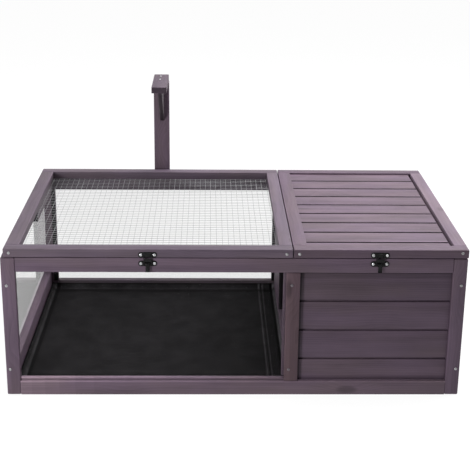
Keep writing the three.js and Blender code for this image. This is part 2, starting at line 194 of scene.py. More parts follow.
# Brightness and hue of each board's stain, set board by board to how bright it looks, so partly painted
# light
# and shade: the lamp brace and the top hide board are darker for the shade on them, the divider and the
# right lid's right member paler for the light on them. Of the names here that a board's own name starts
# with, the longest is the one that counts
TONES = {
    "left_lid": 0.97, "left_lid_rear": 1.12, "left_lid_front": 0.92,
    "left_lid_right_member": 1.2, "right_lid_right_member": 1.65, "right_lid_boards": 1.2,
    "right_lid_left_member": 1.08, "right_lid_front": 1.14, "right_lid_rear": 1.04,
    "front_bottom_rail": 1.12, "front_mid_post": 0.84, "hide_front_board": 0.93,
    "hide_front_board_4": 0.78, "hide_front_board_1": 1.05, "lamp_brace": 0.46,
    "lamp_arm": 0.83, "lamp_post": 1.45, "rear_bottom_rail": 1.02, "divider": 1.4,
    "divider_cleat": 1.12, "left_bottom_board": 1.22,
}
TINTS = {
    "left_lid": (1.0, 1.06, 1.03), "right_lid": (1.0, 0.98, 0.985),
    "right_lid_right_member": (1.02, 1.05, 1.01), "front_mid_post": (1.0, 0.9, 0.82),
    "front_bottom_rail": (1.0, 1.01, 0.97), "rear_bottom_rail": (1.0, 1.12, 1.0),
}
PLAIN_TINT = (1.0, 1.0, 1.0)


def longest_match(table, name, default):
    keys = [key for key in table if name.startswith(key)]
    return table[max(keys, key=len)] if keys else default


def toned(name, stain):
    """A stain at the brightness and hue of the board of that name."""
    level = longest_match(TONES, name, 1.0)
    tint = longest_match(TINTS, name, PLAIN_TINT)
    return tuple(level * share * part for share, part in zip(tint, stain)) + (1,)


# Stained softwood: rings about a pith beside the board, fibres, knots, worn edges that are paler partly as
# painted highlights, end grain
STAIN_PURPLE = (0.081, 0.0563, 0.0805)
STAIN_BROWN = (0.081, 0.0571, 0.0735)
HUE_TURN = (0.35, 0.65)
# Where each board is cut from the pattern, in metres
CUT_ALONG = (3, 9)
CUT_ACROSS = (-0.03, 0.03)
CUT_DEEP = (0.02, 0.06)
# Cells of each pattern to a metre: along the board, across it and into it
KNOT_CELLS = (4.5, 11, 11)
WAVER_CELLS = (4.2, 16, 16)
FIBRE_CELLS = (9, 620, 620)
STREAK_CELLS = (2.6, 75, 75)
BLOTCH_CELLS = (7, 17, 17)
WARMTH_CELLS = (5, 19, 19)
RING_SCALE = 62
RING_BEND = 0.6
RING_DETAIL = 2.0
# Distances from a knot's middle: where the knot ends, and where the rings run straight again
KNOT_EDGE = (0.055, 0.13)
SWERVE_EDGE = (0.05, 0.42)
SWERVE = 0.018
WAVER = 0.02
# What each pattern adds to the brightness
PLAIN_SHADE = 1.08
RING_SHADE = -0.16
FIBRE_SHADE = 0.5
STREAK_SHADE = 0.62
BLOTCH_SHADE = 0.5
KNOT_SHADE = -0.4
# Worn edges, paler partly as painted highlights along them, and end grain
EDGE_WEAR_AND_HIGHLIGHT = 2.2 * MM
WEAR_AND_HIGHLIGHT_PATCHES = (0.38, 0.6)
WEAR_AND_HIGHLIGHT_GAIN = 2.2
TIMBER_WEAR_AND_HIGHLIGHT = 0.35
END_FACING = (0.6, 0.9)
END_SHADE = 0.62
ZONE_SOFT = 0.2 * MM
RING_HEIGHT = 0.35
TIMBER_BUMP = (0.35, 0.25 * MM)
TIMBER_ROUGHNESS = (0.46, 0.66)
TIMBER_SPECULAR = 0.16


def timber_material(name, axis, low, high, seed, worn=TIMBER_WEAR_AND_HIGHLIGHT, zones=(), figure=1.0):
    """Stained wood whose grain runs along axis. A zone is a band painted lighter or darker: painted light
    or shade.
    """
    material, tree = new_material(f"timber_{name}")
    coordinates = add_node(tree, "ShaderNodeTexCoord")
    place = coordinates.outputs["Object"]
    split = separate(tree, place)
    others = [i for i in range(3) if i != axis]
    draw = random.Random(seed)
    middle = (low + high) / 2
    along = calc(tree, "ADD", split[axis], draw.uniform(*CUT_ALONG))
    across = calc(tree, "ADD", split[others[0]], draw.uniform(*CUT_ACROSS) - middle[others[0]])
    deep = calc(tree, "ADD", split[others[1]], draw.uniform(*CUT_DEEP) - middle[others[1]])
    grain_space = combine(tree, along, across, deep)

    # Knots are stretched cells, and the rings swerve round them
    knot_inputs = {"Vector": stretch(tree, grain_space, KNOT_CELLS), "Scale": 1.0}
    knot_at = add_node(tree, "ShaderNodeTexVoronoi", knot_inputs).outputs["Distance"]
    knot = ramp(tree, knot_at, *KNOT_EDGE, 1.0, 0.0)
    swerve = ramp(tree, knot_at, *SWERVE_EDGE, SWERVE, 0.0)
    waver = speckle(tree, stretch(tree, grain_space, WAVER_CELLS), detail=2.0)
    shift = calc(tree, "MULTIPLY_ADD", waver, WAVER, swerve)
    rings = add_node(
        tree, "ShaderNodeTexWave",
        {
            "Vector": combine(tree, 0.0, calc(tree, "ADD", across, shift), calc(tree, "ADD", deep, shift)),
            "Scale": RING_SCALE, "Distortion": RING_BEND, "Detail": RING_DETAIL,
            "Detail Scale": RING_DETAIL,
        },
        wave_type="RINGS", rings_direction="X", wave_profile="SAW",
    ).outputs["Fac"]
    fibre = speckle(tree, stretch(tree, grain_space, FIBRE_CELLS), detail=4.0, roughness=0.65)
    streak = speckle(tree, stretch(tree, grain_space, STREAK_CELLS))
    blotch = speckle(tree, stretch(tree, grain_space, BLOTCH_CELLS), roughness=0.6)
    warmth = speckle(tree, stretch(tree, grain_space, WARMTH_CELLS), detail=2.0)

    # Brightness from the patterns, then the stain's own hue
    shade = calc(tree, "MULTIPLY_ADD", rings, RING_SHADE, PLAIN_SHADE)
    for pattern, amount in (
        (fibre, FIBRE_SHADE), (streak, STREAK_SHADE * figure), (blotch, BLOTCH_SHADE * figure),
    ):
        shade = calc(tree, "MULTIPLY_ADD", calc(tree, "SUBTRACT", pattern, 0.5), amount, shade)
    shade = calc(tree, "MULTIPLY_ADD", knot, KNOT_SHADE, shade)
    purple, brown = toned(name, STAIN_PURPLE), toned(name, STAIN_BROWN)
    stain = mix_colour(tree, ramp(tree, warmth, *HUE_TURN), purple, brown)

    # Distance from the nearest edge of the board: the second smallest distance from its faces
    to_low = vector_calc(tree, "SUBTRACT", place, low)
    to_high = vector_calc(tree, "SUBTRACT", high, place)
    a, b, c = separate(tree, vector_calc(tree, "MINIMUM", to_low, to_high))
    inner = calc(tree, "MINIMUM", calc(tree, "MAXIMUM", a, b), c)
    edge = calc(tree, "MAXIMUM", calc(tree, "MINIMUM", a, b), inner)
    # Worn edges are painted paler: partly wear, partly a painted highlight along the arrises
    patches = ramp(tree, blotch, *WEAR_AND_HIGHLIGHT_PATCHES)
    rub_and_highlight = calc(tree, "MULTIPLY", ramp(tree, edge, 0.0, EDGE_WEAR_AND_HIGHLIGHT, 1.0, 0.0), patches)
    rub_and_highlight = calc(tree, "MULTIPLY", rub_and_highlight, worn)
    rubbed_and_highlit = mix_colour(tree, rub_and_highlight, stain, tuple(min(1.0, WEAR_AND_HIGHLIGHT_GAIN * x) for x in purple[:3]) + (1,))

    # End grain drinks more stain
    normal = separate(tree, coordinates.outputs["Normal"])[axis]
    end_grain = ramp(tree, calc(tree, "ABSOLUTE", normal), *END_FACING)
    shade = calc(tree, "MULTIPLY", shade, ramp(tree, end_grain, 0.0, 1.0, 1.0, END_SHADE))
    shade = banded(tree, shade, split, zones, ZONE_SOFT)
    height = calc(tree, "MULTIPLY_ADD", rings, RING_HEIGHT, fibre)
    return close_material(material, {
        "Base Color": mix_colour(tree, 1.0, rubbed_and_highlit, combine(tree, shade, shade, shade), "MULTIPLY"),
        "Roughness": ramp(tree, fibre, *WIDE, *TIMBER_ROUGHNESS),
        "Normal": bumped(tree, height, *TIMBER_BUMP), "Specular IOR Level": TIMBER_SPECULAR,
    })


# Acrylic panes
ACRYLIC_IOR = 1.49
CLEAR_GLARE = 0.075
CLEAR_MIRROR = 0.96
CLEAR_LOSS = {"front_pane": 0.155, "rear_pane": 0.155, "left_pane": 0.07}
SMEAR_SCALE = 9.0
CLEAR_ROUGHNESS = (0.004, 0.02)


def clear_material(name, loss):
    """Acrylic sheet: the outer skin reflects as both faces of a thin sheet do and takes a little
    light away, and the inner skin lets it by."""
    material, tree = new_material(f"clear_{name}")
    fresnel = add_node(tree, "ShaderNodeFresnel", {"IOR": ACRYLIC_IOR}).outputs[0]
    both = calc(tree, "DIVIDE", calc(tree, "MULTIPLY", fresnel, 2.0), calc(tree, "ADD", fresnel, 1.0))
    inner_skin = add_node(tree, "ShaderNodeNewGeometry").outputs["Backfacing"]
    glare = ramp(tree, both, CLEAR_GLARE, 1.0, kind="LINEAR")
    alpha = calc(tree, "ADD", glare, loss, clamp=True)
    mirror = calc(tree, "MULTIPLY", calc(tree, "DIVIDE", glare, alpha), CLEAR_MIRROR)
    alpha = calc(tree, "MULTIPLY", alpha, calc(tree, "SUBTRACT", 1.0, inner_skin))
    smear = speckle(tree, own_place(tree), SMEAR_SCALE)
    return close_material(material, {
        "Base Color": combine(tree, mirror, mirror, mirror), "Metallic": 1.0,
        "Roughness": ramp(tree, smear, *NARROW, *CLEAR_ROUGHNESS), "Alpha": alpha,
    })


# Metals and the strips' black: colour, metallic, roughness, worn colour, pits to a metre, specular level
METALS = {
    "black_metal": ((0.003, 0.003, 0.0032), 0.0, 0.3, (0.006, 0.006, 0.007), 900, 0.16),
    "black_strip": ((0.004, 0.004, 0.004), 0.0, 0.8, (0.007, 0.007, 0.007), 300, 0.2),
    "galvanised_wire": ((0.32, 0.32, 0.33), 0.85, 0.4, (0.22, 0.22, 0.23), 700, 0.5),
    "screw_steel": ((0.42, 0.42, 0.43), 1.0, 0.42, (0.3, 0.3, 0.3), 900, 0.5),
    "screw_dull": ((0.2, 0.18, 0.2), 1.0, 0.45, (0.13, 0.12, 0.13), 900, 0.5),
    "zinc_plate": ((0.62, 0.63, 0.65), 1.0, 0.3, (0.5, 0.5, 0.5), 700, 0.5),
}
PIT_DETAIL = (4.0, 0.6)
PATCH_SCALE = 90.0
PATCH_EDGE = (0.45, 0.75)
METAL_BUMP = (0.2, 0.1 * MM)
ROUGHNESS_SPREAD = (-0.08, 0.1)


def metal_material(name, colour, metallic, roughness, worn_colour, pitting, specular):
    material, tree = new_material(name)
    place = own_place(tree)
    fine = speckle(tree, place, pitting, *PIT_DETAIL)
    worn = ramp(tree, speckle(tree, place, PATCH_SCALE), *PATCH_EDGE)
    spread = [roughness + change for change in ROUGHNESS_SPREAD]
    return close_material(material, {
        "Base Color": mix_colour(tree, worn, colour + (1,), worn_colour + (1,)),
        "Metallic": metallic, "Roughness": ramp(tree, fine, *NARROW, *spread),
        "Normal": bumped(tree, fine, *METAL_BUMP), "Specular IOR Level": specular,
    })


# The liner's cloth. Painted light and shade on it: pale lines where its creases and folds catch the light,
# dark lines where shade falls beside them and in the gaps at the walls, and a paler right-hand flap where
# light falls on it
LINER_LIGHT_AND_SHADE = in_metres((
    (0, -463, -459.5, 0.05), (0, -455.2, -451.6, 2.7), (0, -449.5, -441.5, 0.3),
    (0, 75, 79.5, 4.0), (0, 80, 84, 0.7), (0, 85, 89, 2.8),
    (0, 105.5, 111, 0.02), (0, 112, 120, 6.0),
    (1, 275, 285, 2.2), (1, 256, 269, 0.45), (1, -222, -214, 1.5),
))
CREASE_SOFT = 1.3 * MM
WEAVE_PITCH = 1.4 * MM
WEAVE_HEIGHT = 0.3
NAP_CELLS = (420, 420, 420)
DUST_SCALE = 22.0
DUST_DETAIL = (6.0, 0.7)
DUST_EDGE = (0.3, 0.75)
CLOTH_LEVEL = 0.0025
NAP_LEVEL = 0.007
DUST_LEVEL = 0.008
CLOTH_TINT = (0.94, 1.02)
CLOTH_BUMP = (0.5, 0.3 * MM)
CLOTH_ROUGHNESS = (0.75, 0.95)
CLOTH_SPECULAR = 0.06


def liner_material():
    """Black coated cloth: a fine weave, brushed nap and a little dust."""
    material, tree = new_material("liner_cloth")
    place = own_place(tree)
    split = separate(tree, place)
    turns = 2 * math.pi / WEAVE_PITCH
    weft = calc(tree, "SINE", calc(tree, "MULTIPLY", split[0], turns))
    warp = calc(tree, "SINE", calc(tree, "MULTIPLY", split[1], turns))
    weave = calc(tree, "MULTIPLY", weft, warp)
    nap = speckle(tree, stretch(tree, place, NAP_CELLS))
    dust = ramp(tree, speckle(tree, place, DUST_SCALE, *DUST_DETAIL), *DUST_EDGE)
    value = calc(tree, "MULTIPLY_ADD", nap, NAP_LEVEL, calc(tree, "MULTIPLY", dust, DUST_LEVEL))
    value = calc(tree, "ADD", value, CLOTH_LEVEL)
    # Painted light and shade: the bands make creases, folds and the right flap paler and the gaps at the
    # walls dark
    value = banded(tree, value, split, LINER_LIGHT_AND_SHADE, CREASE_SOFT)
    green, blue = (calc(tree, "MULTIPLY", value, share) for share in CLOTH_TINT)
    height = calc(tree, "MULTIPLY_ADD", weave, WEAVE_HEIGHT, nap)
    return close_material(material, {
        "Base Color": combine(tree, value, green, blue),
        "Roughness": ramp(tree, nap, *WIDE, *CLOTH_ROUGHNESS),
        "Normal": bumped(tree, height, *CLOTH_BUMP), "Specular IOR Level": CLOTH_SPECULAR,
    })


# Meshes. A board is made of bays along its length, and noise moves its faces in and out
LOFT_PITCH = 0.04
WOBBLE = 0.12 * MM
WOBBLE_ALONG = 9
WOBBLE_ACROSS = 40
WOBBLE_SEED = 7.7
LEAST_BAYS = 2
# Angles in degrees: up to these a mesh is shaded smooth, flat boards and then round or soft pieces
BOARD_SMOOTH = 35
ROUND_SMOOTH = 60
# An outline's corner with half an angle over the first stays as it is. An edge that turns more
# than the second is eased
STRAIGHT_HALF = 85
SHARP_EDGE = 30
WELD = 0.01 * MM


def new_piece(name, mesh, body, material, slot, *replaced):
    piece = bpy.data.objects.new(name, mesh)
    bpy.context.scene.collection.objects.link(piece)
    mesh.materials.clear()
    mesh.materials.append(material)
    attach(piece, body)
    if replaced:
        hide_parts(*replaced)
    return piece


def stand_in(name, mesh, node, material):
    """A piece that replaces a CAD node, on the node's body."""
    return new_piece(name, mesh, body_of[node], material, slot_of[node], node)


def finish_mesh(name, made, smooth_angle=BOARD_SMOOTH):
    bmesh.ops.recalc_face_normals(made, faces=made.faces)
    mesh = bpy.data.meshes.new(name)
    made.to_mesh(mesh)
    made.free()
    mesh.polygons.foreach_set("use_smooth", [True] * len(mesh.polygons))
    mesh.set_sharp_from_angle(angle=math.radians(smooth_angle))
    return mesh


def eased(points, radius, steps=2):
    """A closed outline with its corners rounded. A corner is (u, v) or (u, v, its own radius)."""
    result = []
    for i, corner in enumerate(points):
        here = Vector(corner[:2])
        size = corner[2] if len(corner) > 2 else radius
        before = (Vector(points[i - 1][:2]) - here).normalized()
        after = (Vector(points[(i + 1) % len(points)][:2]) - here).normalized()
        half = before.angle(after) / 2
        if size == 0 or half > math.radians(STRAIGHT_HALF):
            result.append(here)
            continue
        reach = size / math.tan(half)
        centre = here + (before + after).normalized() * (size / math.sin(half))
        start, end = here + before * reach - centre, here + after * reach - centre
        for step in range(steps + 1):
            result.append(centre + start.slerp(end, step / steps).normalized() * size)
    return result


def oblong(low, high, radius):
    """The rounded rectangle between two corners."""
    return eased([(low[0], low[1]), (high[0], low[1]), (high[0], high[1]), (low[0], high[1])], radius)


def loft(name, outline, axis, span, ease, seed, wobble=WOBBLE):
    """A board of one section run along an axis. Its ends are eased and its faces slightly uneven."""
    others = [i for i in range(3) if i != axis]
    centre = sum(outline, Vector((0, 0))) / len(outline)
    low = [min(p[i] for p in outline) for i in range(2)]
    high = [max(p[i] for p in outline) for i in range(2)]
    count = max(LEAST_BAYS, round((span[1] - span[0]) / LOFT_PITCH))
    stations = [(span[0], ease), (span[0] + ease, 0)]
    stations += [(span[0] + (span[1] - span[0]) * i / count, 0) for i in range(1, count)]
    stations += [(span[1] - ease, 0), (span[1], ease)]
    made = bmesh.new()
    rings = []
    for where, inset in stations:
        ring = []
        for point in outline:
            moved = Vector([
                min(max(point[i], low[i] + inset), high[i] - inset) for i in range(2)
            ])
            inward = noise.noise(Vector((
                where * WOBBLE_ALONG, point[0] * WOBBLE_ACROSS,
                point[1] * WOBBLE_ACROSS + seed * WOBBLE_SEED,
            )))
            moved += (centre - moved).normalized() * wobble * (0.5 + 0.5 * inward)
            position = [0, 0, 0]
            position[axis] = where
            position[others[0]], position[others[1]] = moved
            ring.append(made.verts.new(position))
        rings.append(ring)
    for ring, after in zip(rings, rings[1:]):
        for i in range(len(ring)):
            j = (i + 1) % len(ring)
            made.faces.new((ring[i], ring[j], after[j], after[i]))
    made.faces.new(rings[0])
    made.faces.new(list(reversed(rings[-1])))
    return finish_mesh(name, made)


def eased_copy(node, ease, material):
    """The CAD solid with its arrises taken off."""
    made = bmesh.new()
    made.from_mesh(frame["nodes"][node].data)
    bmesh.ops.remove_doubles(made, verts=made.verts, dist=WELD)
    bmesh.ops.dissolve_limit(made, angle_limit=math.radians(1), verts=made.verts, edges=made.edges)
    sharp = [e for e in made.edges if e.is_manifold and e.calc_face_angle() > math.radians(SHARP_EDGE)]
    bmesh.ops.bevel(
        made, geom=sharp, offset=ease, offset_type="OFFSET", segments=2, profile=0.5,
        affect="EDGES", clamp_overlap=True,
    )
    stand_in(f"{node}_eased", finish_mesh(f"{node}_eased", made), node, material)


# Timber frames
TIMBER_BOXES = (
    "front_left_post", "front_right_post", "front_top_rail", "front_mid_post",
    "divider_cleat", "rear_left_post", "rear_right_post", "rear_top_rail", "rear_bottom_rail",
    "rear_mid_post", "left_bottom_board", "left_top_rail", "left_inner_rail", "right_bottom_rail",
    "right_top_rail", "floor_board", "left_lid_front_rail", "left_lid_rear_rail",
    "left_lid_left_member", "left_lid_right_member", "right_lid_front_rail", "right_lid_rear_rail",
    "lamp_spacer", "lamp_post", "lamp_arm",
)
TIMBER_EASE = 1.1 * MM
POSTS = ("front_left_post", "front_right_post", "rear_left_post", "rear_right_post")
POST_EASE = 2.0 * MM
# Butted ends that leave a fine dark line
JOINTED = ("front_top_rail", "front_mid_post", "rear_top_rail", "rear_mid_post")
JOINT_GAP = 0.45 * MM
# Painted shade: the right lid's front rail darker under its top edge, and the floor inside the hide darker
BOX_ZONES = {
    "right_lid_front_rail": in_metres(((1, -306, -304.2, 0.72),)),
    "floor_board": in_metres(((0, 131, 466, 0.4),)),
}


def timber_box(node, seed):
    low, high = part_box(node)
    axis = max(range(3), key=lambda i: high[i] - low[i])
    others = [i for i in range(3) if i != axis]
    ease = POST_EASE if node in POSTS else TIMBER_EASE
    outline = oblong([low[i] for i in others], [high[i] for i in others], ease)
    gap = JOINT_GAP if node in JOINTED else 0.0
    mesh = loft(f"{node}_board", outline, axis, (low[axis] + gap, high[axis] - gap), ease, seed)
    material = timber_material(node, axis, low, high, seed, zones=BOX_ZONES.get(node, ()))
    stand_in(f"{node}_board", mesh, node, material)


RAIL_LIP = 6.0 * MM
RAIL_ARRIS = 1.8 * MM
RAIL_END = 0.4 * MM
RAIL_SEED = 4
LIP_EASE_STEPS = 3
LEDGE_ARRIS = 0.6 * MM
# Painted highlights: the top of the ledge and the upper edge of the lip are paler
LEDGE_HIGHLIGHT_LINE = 0.5 * MM
LEDGE_HIGHLIGHT = 1.9
LIP_HIGHLIGHT_LINE = (2.6 * MM, 0.4 * MM)
LIP_HIGHLIGHT = 1.5
# Painted light: the rail is paler towards its left end, where more light falls on it. Where each step
# ends, from the middle
RAIL_PAINTED_LIGHT_STEPS = (-430 * MM, -402 * MM, -372 * MM, -338 * MM, -298 * MM)
RAIL_PAINTED_LIGHT = 1.09
# How far a band runs past the face that it starts from
OVERRUN = 1 * MM


def make_stepped_rail():
    """The front bottom rail: a low lip along its front, and behind it a ledge that carries the pane."""
    node = "front_bottom_rail"
    low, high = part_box(node)
    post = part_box("front_mid_post")[0]
    step = low.y + RAIL_LIP
    lip = [(low.y, low.z), (high.y, low.z), (high.y, post.z, 0), (low.y, post.z, RAIL_ARRIS)]
    ledge = [(step, post.z, 0), (high.y, post.z, 0), (high.y, high.z), (step, high.z, LEDGE_ARRIS)]
    # Painted highlights on the ledge's top and the lip's upper edge, and painted light towards the left
    # end
    zones = (
        (2, high.z - LEDGE_HIGHLIGHT_LINE, high.z + LEDGE_HIGHLIGHT_LINE, LEDGE_HIGHLIGHT),
        (2, post.z - LIP_HIGHLIGHT_LINE[0], post.z + LIP_HIGHLIGHT_LINE[1], LIP_HIGHLIGHT),
        *((0, low.x - OVERRUN, end, RAIL_PAINTED_LIGHT) for end in RAIL_PAINTED_LIGHT_STEPS),
    )
    material = timber_material(node, 0, low, high, RAIL_SEED, zones=zones)
    for part, points, end in (("board", lip, high.x), ("ledge", ledge, post.x)):
        name = f"{node}_{part}"
        outline = eased(points, TIMBER_EASE, LIP_EASE_STEPS)
        stand_in(name, loft(name, outline, 0, (low.x, end), RAIL_END, RAIL_SEED, 0), node, material)


# Boards cut to a shape: the axis of their grain, and their zones. Painted shade: the doorway's
# jambs are painted dark
SHAPED_BOARDS = {
    "divider": (1, in_metres(((1, 78.5, 81.5, 0.12), (1, -81.5, -78.5, 0.12)))),
    "lamp_brace": (2, ()),
}
SHAPED_EASE = 0.9 * MM
SHAPED_SEED = 60


def make_frames():
    for seed, node in enumerate(TIMBER_BOXES, start=1):
        timber_box(node, seed)
    make_stepped_rail()
    for seed, (node, (axis, zones)) in enumerate(SHAPED_BOARDS.items(), start=SHAPED_SEED):
        low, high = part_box(node)
        eased_copy(node, SHAPED_EASE, timber_material(node, axis, low, high, seed, zones=zones))


# Boards side by side, each rebated and chamfered where it meets the next
WALL_SLOT = 2.2 * MM
LID_SLOT = 2.9 * MM
SLOT_DEPTH = 4.5 * MM
SLOT_ARRIS = 0.8 * MM
SLOT_SPREAD = 0.25 * MM
SHOW_ARRIS = 0.4 * MM
BACK_ARRIS = 0.3 * MM
PLANK_END = 0.5 * MM
PLANK_WEAR_AND_HIGHLIGHT = 0.2
# Painted shade: the slots between boards darkened, a little on the walls and almost to black on the lid,
# and the inner faces of the hide's walls darkened
WALL_SLOT_SHADE = 0.95
LID_SLOT_SHADE = 0.03
INSIDE_SHADE = 0.2
SLAT_FIGURE = 1.5
SEAM = 0.05 * MM
NARROWEST = 4 * MM


def plank_outline(width, depth, seams, slot):
    """The section of a board, with its show side at depth 0 and a step down at each seam."""
    show = []
    for side, seam in enumerate(seams):
        corner = [(0, SLOT_DEPTH, 0), (slot, SLOT_DEPTH, 0), (slot, 0, SLOT_ARRIS)]
        if not seam:
            corner = [(0, 0, SHOW_ARRIS)]
        if side:
            corner = [(width - u, v, radius) for u, v, radius in reversed(corner)]
        show += corner
    return show + [(width, depth, BACK_ARRIS), (0, depth, BACK_ARRIS)]


def plank(name, node, low, high, axis, stack, face, seed, seams, extra=()):
    """One board: it runs along axis, lies next to others along stack, and shows its side face."""
    lid = node == "right_lid_boards"
    slot = LID_SLOT if lid else WALL_SLOT
    others = [i for i in range(3) if i != axis]
    show = 3 - axis - stack
    corners = []
    for u, v, radius in plank_outline(high[stack] - low[stack], high[show] - low[show], seams, slot):
        place = {stack: low[stack] + u, show: high[show] - v if face else low[show] + v}
        corners.append((place[others[0]], place[others[1]], radius))
    mesh = loft(name, eased(corners, 0), axis, (low[axis], high[axis]), PLANK_END, seed)
    reach = slot + SLOT_SPREAD
    # Painted shade in the slots beside each seam, and on the inner face of a wall board
    slot_shade = LID_SLOT_SHADE if lid else WALL_SLOT_SHADE
    zones = [
        (stack, at - reach, at + reach, slot_shade)
        for at, seam in zip((low[stack], high[stack]), seams) if seam
    ]
    zones += extra
    if not lid:
        back = low[show] if face else high[show]
        zones.append((show, back - OVERRUN, back + OVERRUN, INSIDE_SHADE))
    figure = SLAT_FIGURE if lid else 1.0
    stand_in(name, mesh, node, timber_material(name, axis, low, high, seed, PLANK_WEAR_AND_HIGHLIGHT, zones, figure))


def edges_from(high, low, first, pitch):
    """The edges between boards, from the high side down: one board of its own width, then a pitch."""
    edges = [high]
    step = first
    while edges[-1] - step > low + NARROWEST:
        edges.append(edges[-1] - step)
        step = pitch
    return edges + [low]


def make_planks(node, axis, stack, steps, seed, longer=0.0):
    low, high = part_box(node)
    high[axis] += longer
    edges = edges_from(high[stack], low[stack], *steps)
    for i, (top, bottom) in enumerate(zip(edges, edges[1:])):
        start, end = low.copy(), high.copy()
        start[stack], end[stack] = bottom + SEAM, top - SEAM
        seams = (i + 2 < len(edges), i > 0)
        plank(f"{node}_plank_{i + 1}", node, start, end, axis, stack, True, seed + i, seams)


SLAT_REACH = 6.0 * MM
LID_STEPS = (59.5 * MM, 66 * MM)
WALL_STEPS = (66.6 * MM, 66 * MM)
FRONT_BOARDS = 4
FRONT_SEED = 100
RIGHT_SEED = 110
BACK_SEED = 120
SLAT_SEED = 130
# Reach in millimetres and gain of the painted shadows beside the post and under the rail
POST_SHADOWS = ((4.5, 0.5), (9, 0.85))
RAIL_SHADOWS = ((5, 0.5), (16, 0.85))


def make_hide():
    for i in range(FRONT_BOARDS):
        node = f"hide_front_board_{i + 1}"
        low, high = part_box(node)
        first, last = i == 0, i == FRONT_BOARDS - 1
        extra = [(0, low.x - OVERRUN, low.x + reach * MM, gain) for reach, gain in POST_SHADOWS]
        if last:
            extra += [(2, high.z - reach * MM, high.z + OVERRUN, gain) for reach, gain in RAIL_SHADOWS]
        seams = (not first, not last)
        plank(f"{node}_plank", node, low, high, 0, 2, False, FRONT_SEED + i, seams, extra)
    make_planks("hide_right_panel", 1, 2, WALL_STEPS, RIGHT_SEED)
    make_planks("hide_rear_panel", 0, 2, WALL_STEPS, BACK_SEED)
    make_planks("right_lid_boards", 0, 1, LID_STEPS, SLAT_SEED, SLAT_REACH)


MEMBER_INNER = 457.0 * MM
MEMBER_EASE = 0.9 * MM
MEMBER_SEED = 150
CHANNEL_EDGE = 0.4 * MM
CHANNEL_SHADE = 0.4


def make_ledged_members():
    """The right lid's side members, each with a ledge that the slats rest on."""
    slats_low, slats_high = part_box("right_lid_boards")
    left_low, left_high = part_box("right_lid_left_member")
    right_low, right_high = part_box("right_lid_right_member")
    shelf = slats_low.z
    left = [
        (left_low.x, left_low.z), (left_high.x, left_low.z), (left_high.x, shelf),
        (slats_low.x, shelf), (slats_low.x, left_high.z), (left_low.x, left_high.z),
    ]
    right = [
        (right_low.x, right_low.z), (right_high.x, right_low.z), (right_high.x, right_high.z),
        (MEMBER_INNER, right_high.z), (MEMBER_INNER, shelf), (right_low.x, shelf),
    ]
    # Painted shade in the channel between the slats' ends and the right member's inner face
    channel = ((0, slats_high.x + SLAT_REACH, MEMBER_INNER - CHANNEL_EDGE, CHANNEL_SHADE),)
    members = (("right_lid_left_member", left, ()), ("right_lid_right_member", right, channel))
    for seed, (node, points, zones) in enumerate(members, start=MEMBER_SEED):
        low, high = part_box(node)
        outline = eased(points, MEMBER_EASE)
        mesh = loft(f"{node}_board", outline, 1, (low.y, high.y), MEMBER_EASE, seed, 0)
        material = timber_material(node, 1, low, high, seed, zones=zones)
        stand_in(f"{node}_board", mesh, node, material)


# Wire mesh: two layers of round wires, welded where they cross
WIRE_RADIUS = 0.38 * MM
WIRE_PITCH = 12.7 * MM
WIRE_SIDES = 6
WIRE_STRAY = 0.15 * MM
WIRE_SEED = 7
# Depth of the lower layer below the upper face, in radii, and pitches between a wire's stations
WIRE_LAYER = 2.3
WIRE_STATION = 3


def add_wire(made, points, radius, up=(0, 0, 1), closed=False, sides=WIRE_SIDES):
    """A round wire along a path. Its cross-section never turns away from the up direction."""
    count = len(points)
    rings = []
    for i, point in enumerate(points):
        last, following = (i - 1, (i + 1) % count) if closed else (max(i - 1, 0), min(i + 1, count - 1))
        ahead = (points[following] - points[last]).normalized()
        side = ahead.cross(Vector(up)).normalized()
        rise = side.cross(ahead)
        ring = []
        for k in range(sides):
            angle = 2 * math.pi * k / sides
            ring.append(made.verts.new(point + (side * math.cos(angle) + rise * math.sin(angle)) * radius))
        rings.append(ring)
    pairs = list(zip(rings, rings[1:]))
    if closed:
        pairs.append((rings[-1], rings[0]))
    for ring, after in pairs:
        for k in range(sides):
            j = (k + 1) % sides
            made.faces.new((ring[k], ring[j], after[j], after[k]))
    if not closed:
        made.faces.new(list(reversed(rings[0])))
        made.faces.new(rings[-1])


def make_wire_mesh(material):
    low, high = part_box("left_lid_mesh")
    draw = random.Random(WIRE_SEED)
    made = bmesh.new()
    heights = (high.z - WIRE_RADIUS, high.z - WIRE_LAYER * WIRE_RADIUS)
    for axis in (0, 1):
        other = 1 - axis
        count = int((high[other] - low[other] - 2 * WIRE_RADIUS) / WIRE_PITCH)
        start = (low[other] + high[other] - count * WIRE_PITCH) / 2
        stations = int((high[axis] - low[axis]) / (WIRE_STATION * WIRE_PITCH))
        for i in range(count + 1):
            points = []
            for k in range(stations + 1):
                point = Vector((0, 0, heights[axis]))
                point[axis] = low[axis] + (high[axis] - low[axis]) * k / stations
                point[other] = start + i * WIRE_PITCH + draw.gauss(0, WIRE_STRAY)
                points.append(point)
            add_wire(made, points, WIRE_RADIUS)
    mesh = finish_mesh("lid_wire_mesh", made, ROUND_SMOOTH)
    stand_in("lid_wire_mesh", mesh, "left_lid_mesh", material)


STAPLE_PITCH = 76 * MM
STAPLE_MARGIN = 40 * MM
STAPLE_SPAN = 5 * MM
STAPLE_RADIUS = 0.3 * MM
STAPLE_INSET = 5.5 * MM
STAPLE_LEG = 5 * MM
STAPLE_SINK = 0.1 * MM


